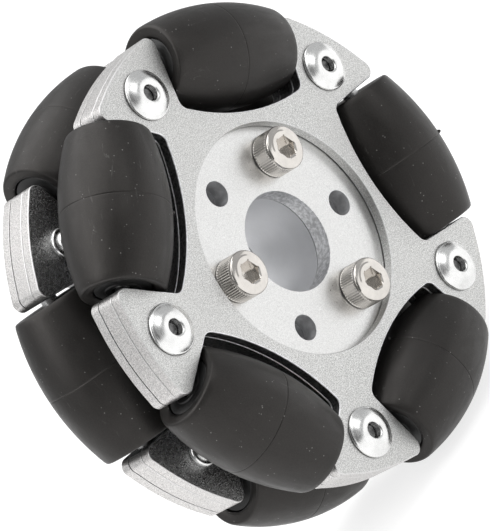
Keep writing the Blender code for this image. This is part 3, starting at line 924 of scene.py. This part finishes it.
def screw_mesh():
    """Along +z; the head's underside is at z = 0 and its socket opens at the top."""
    top = -HEAD_HEIGHT
    knurl_from, knurl_to = top + KNURL_START, KNURL_END
    neck = HEAD_RADIUS - NECK_DEPTH

    def knurled(radius, angle, height):
        if knurl_from - HEIGHT_SLACK <= height <= knurl_to + HEIGHT_SLACK:
            return radius - KNURL_DEPTH * (1 + math.cos(KNURL_TEETH * angle))
        return radius

    mouth = SOCKET_FLATS / math.sqrt(3) + 0.04 * MM
    rim = rounded([(mouth, top), (1.90 * MM, top), (2.12 * MM, top + 0.07 * MM),
                   (HEAD_RADIUS, top + 0.18 * MM), (HEAD_RADIUS, knurl_from)],
                  (0, 0.10 * MM, 0.12 * MM, 0.30 * MM), 5)
    outer = rim[1:-1]
    outer += [(HEAD_RADIUS, knurl_from - 0.16 * MM), (neck, knurl_from - 0.10 * MM)]
    outer += [(neck, knurl_from - 0.04 * MM), (HEAD_RADIUS, knurl_from)]
    outer += [(HEAD_RADIUS, knurl_to), (HEAD_RADIUS, knurl_to + 0.06 * MM)]
    outer += rounded([(HEAD_RADIUS, -0.10 * MM), (HEAD_RADIUS, 0.0), (0.6 * MM, 0.0)],
                     (0, 0.09 * MM), 3)[1:]

    def hexagonal(share, angle, height):
        return share * hexagon(SOCKET_FLATS, angle)

    rings = turned(outer + [(0.0, 0.0)], HEAD_SIDES, knurled)
    socket = turned([(mouth, top)], HEAD_SIDES)
    socket += turned([(1.0, top + 0.10 * MM), (1.0, top + SOCKET_DEPTH)], HEAD_SIDES, hexagonal)
    cone = turned([(0.9, top + SOCKET_DEPTH)], HEAD_SIDES, hexagonal)
    tip = [[Vector((0.0, 0.0, top + SOCKET_DEPTH + 0.30 * MM))]]
    shape = bmesh.new()
    ring_solid(shape, list(reversed(tip)) + cone + list(reversed(socket)) + rings)
    shank = [(0.0, 0.05 * MM), (THREAD_RADIUS, 0.05 * MM),
             (THREAD_RADIUS, SCREW_LENGTH - 4.5 * MM)]
    count = int(THREAD_LENGTH / THREAD_PITCH * STEPS_PER_TURN)
    start = SCREW_LENGTH - THREAD_TO_TIP
    for i in range(count + 1):
        shank.append((THREAD_RADIUS, start + i * THREAD_PITCH / STEPS_PER_TURN))
    shank += [(THREAD_RADIUS - 0.30 * MM, SCREW_LENGTH), (0.0, SCREW_LENGTH)]

    def threaded(radius, angle, height):
        if height < start - HEIGHT_SLACK or height > start + THREAD_LENGTH + HEIGHT_SLACK:
            return radius
        phase = ((height - start) / THREAD_PITCH - angle / (2 * math.pi)) % 1.0
        ease = min(1.0, (height - start) / THREAD_RUN_IN)
        return radius - THREAD_DEPTH * ease * (1 - abs(2 * phase - 1))

    ring_solid(shape, turned(shank, SHANK_SIDES, threaded))
    return close_mesh("cap_screw", shape)


def build_fasteners():
    screw = screw_mesh()
    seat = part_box("front_row_core_plate")[0][1] - SCREW_SEAT_GAP
    for i in range(SCREWS):
        angle = FIRST_SCREW_ANGLE - SCREW_STEP * i
        spot = polar(BOLT_CIRCLE, angle)
        place = facing_rear(spot.x, seat, spot.y, -angle)
        piece = even_normals(link(f"cap_screw_{i + 1}", screw, [screw_metal], place))
        stand_for(piece, "wheel", "screw", f"hub_screw_{i + 1}")


# ---------------------------------------------------------------- stage

def direction(azimuth, elevation):
    a, e = math.radians(azimuth), math.radians(elevation)
    return Vector((math.sin(a) * math.cos(e), -math.cos(a) * math.cos(e), math.sin(e)))


def build_camera():
    data = bpy.data.cameras.new("camera")
    data.sensor_width = SENSOR
    data.lens = CAMERA_LENS
    data.clip_start = CLIP_START
    data.clip_end = CLIP_END
    camera = bpy.data.objects.new("camera", data)
    bpy.context.scene.collection.objects.link(camera)
    back = direction(CAMERA_AZIMUTH, CAMERA_ELEVATION)
    camera.location = Vector(CAMERA_AIM) + back * CAMERA_DISTANCE
    camera.rotation_mode = "QUATERNION"
    level = (-back).to_track_quat("-Z", "Y")
    camera.rotation_quaternion = level @ Quaternion((0, 0, 1), math.radians(CAMERA_ROLL))
    bpy.context.scene.camera = camera


def softbox(name, azimuth, elevation, distance, width, height, radiance):
    data = bpy.data.lights.new(name, "AREA")
    data.shape = "RECTANGLE"
    data.size = width
    data.size_y = height
    data.energy = radiance * math.pi * width * height
    light = bpy.data.objects.new(name, data)
    bpy.context.scene.collection.objects.link(light)
    back = direction(azimuth, elevation)
    light.location = back * distance
    light.rotation_euler = (-back).to_track_quat("-Z", "Y").to_euler()


def build_floor():
    """A plain light table, its own glow keeping it white."""
    shape = bmesh.new()
    grid = []
    for i in range(FLOOR_CELLS + 1):
        row = []
        for j in range(FLOOR_CELLS + 1):
            x, y = FLOOR_SIZE * (i / FLOOR_CELLS - 0.5), FLOOR_SIZE * (j / FLOOR_CELLS - 0.5)
            row.append(shape.verts.new((x, y, cad_low[2])))
        grid.append(row)
    for i in range(FLOOR_CELLS):
        for j in range(FLOOR_CELLS):
            shape.faces.new((grid[i][j], grid[i + 1][j], grid[i + 1][j + 1], grid[i][j + 1]))
    mesh = bpy.data.meshes.new("floor")
    shape.to_mesh(mesh)
    shape.free()
    paint = Paint("light_table", 0.0, 0.2)
    paint.shader.inputs["Emission Color"].default_value = grey(1.0)
    paint.shader.inputs["Emission Strength"].default_value = FLOOR_GLOW
    cloud = paint.noise(0.2, 2.0, 0.5)
    colour = paint.blend(paint.span(cloud, 0.3, 0.7), grey(0.34), grey(0.36))
    paint.finish(colour, paint.span(cloud, 0.3, 0.7, 0.8, 0.9), paint.bump(cloud, 0.1 * MM, 0.1))
    link("floor", mesh, [paint.material])


def build_lights():
    """Three softboxes, and a room that is darker towards one fixed side of the world."""
    scene = bpy.context.scene
    world = bpy.data.worlds.new("studio")
    scene.world = world
    world.use_nodes = True
    background = world.node_tree.nodes["Background"]
    nodes, links = world.node_tree.nodes, world.node_tree.links
    toward = nodes.new("ShaderNodeVectorMath")
    toward.operation = "DOT_PRODUCT"
    toward.inputs[1].default_value = direction(CAMERA_AZIMUTH + WORLD_DARK_TURN,
                                               WORLD_DARK_ELEVATION)
    links.new(nodes.new("ShaderNodeTexCoord").outputs["Generated"], toward.inputs[0])
    ramp = nodes.new("ShaderNodeValToRGB")
    bright, dark = ramp.color_ramp.elements
    bright.position, bright.color = WORLD_BRIGHT_TO, WORLD_BRIGHT
    dark.position, dark.color = WORLD_DARK_FROM, WORLD_DARK
    links.new(toward.outputs["Value"], ramp.inputs["Fac"])
    links.new(ramp.outputs["Color"], background.inputs["Color"])
    softbox("overhead_softbox", 160, 86, 0.95, 1.5, 1.5, 1.75)
    softbox("left_softbox", -100, 40, 0.8, 0.45, 0.5, 1.9)
    softbox("front_softbox", 16, 30, 0.8, 0.36, 0.30, 1.6)
    scene.view_settings.view_transform = "Standard"
    scene.view_settings.look = "None"
    scene.view_settings.exposure = 0.0


build_camera()
build_lights()
build_floor()
build_plates()
build_spacer()
build_rivets()
build_rollers()
build_fasteners()

bpy.context.view_layer.update()
